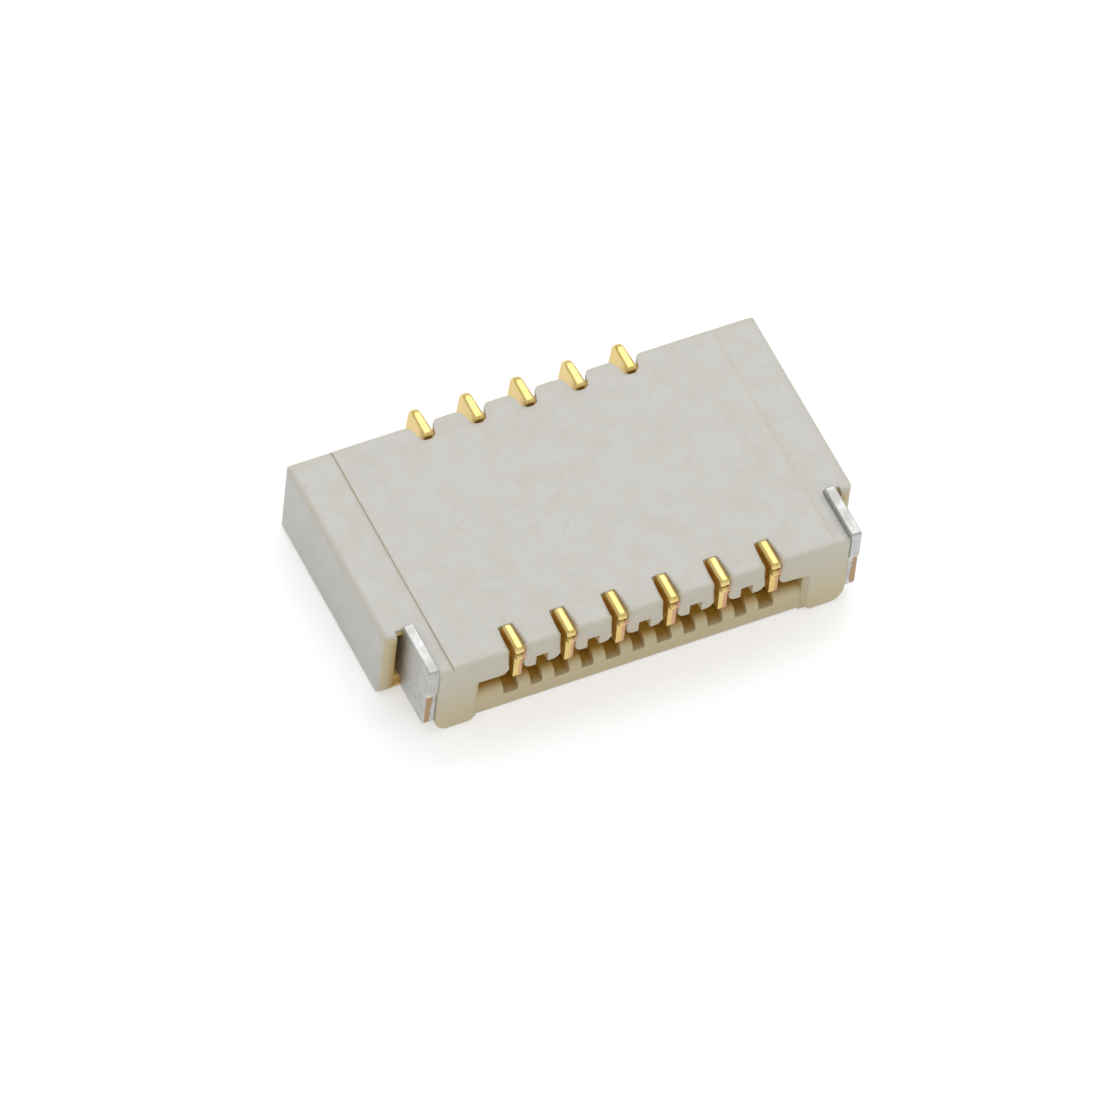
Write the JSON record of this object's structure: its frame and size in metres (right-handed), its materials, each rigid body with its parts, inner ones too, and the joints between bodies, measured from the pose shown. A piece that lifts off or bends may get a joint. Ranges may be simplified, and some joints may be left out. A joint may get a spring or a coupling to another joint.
{
  "type": "flat cable connector",
  "caption": "Low-profile board connector for a flat flexible cable: cream housing with a comb mouth, staggered gold solder tails, tin hold-downs and a flip lock at the back.",
  "frame": {"origin": "under the middle of the overall box, on the lid face", "axes": "+X along the row of contacts, +Z out of the board-mounting face, cable mouth towards -Y and flip lock towards +Y"},
  "size_m": [0.0092, 0.0058, 0.0018],
  "materials": {
    "housing_plastic": "moulded cream liquid-crystal polymer, matt with faint flow marks",
    "actuator_plastic": "moulded dark heat-resistant plastic",
    "contact_gold": "stamped copper alloy, gold plated, with bare sheared edges",
    "hold_down_tin": "stamped copper alloy, dull tin plated"
  },
  "bodies": {
    "housing": {"housing": "housing_plastic", "contact_front_1": "contact_gold", "contact_front_2": "contact_gold", "contact_front_3": "contact_gold", "contact_front_4": "contact_gold", "contact_front_5": "contact_gold", "contact_front_6": "contact_gold", "contact_rear_1": "contact_gold", "contact_rear_2": "contact_gold", "contact_rear_3": "contact_gold", "contact_rear_4": "contact_gold", "contact_rear_5": "contact_gold", "hold_down_left": "hold_down_tin", "hold_down_right": "hold_down_tin"},
    "actuator": {"actuator": "actuator_plastic"}
  },
  "joints": [
    {"name": "actuator_flip", "type": "hinge", "parent": "housing", "child": "actuator", "pos_m": [0, 0.00063, 0.0008], "axis": [-1, 0, 0], "range_deg": [0, 95]}
  ]
}
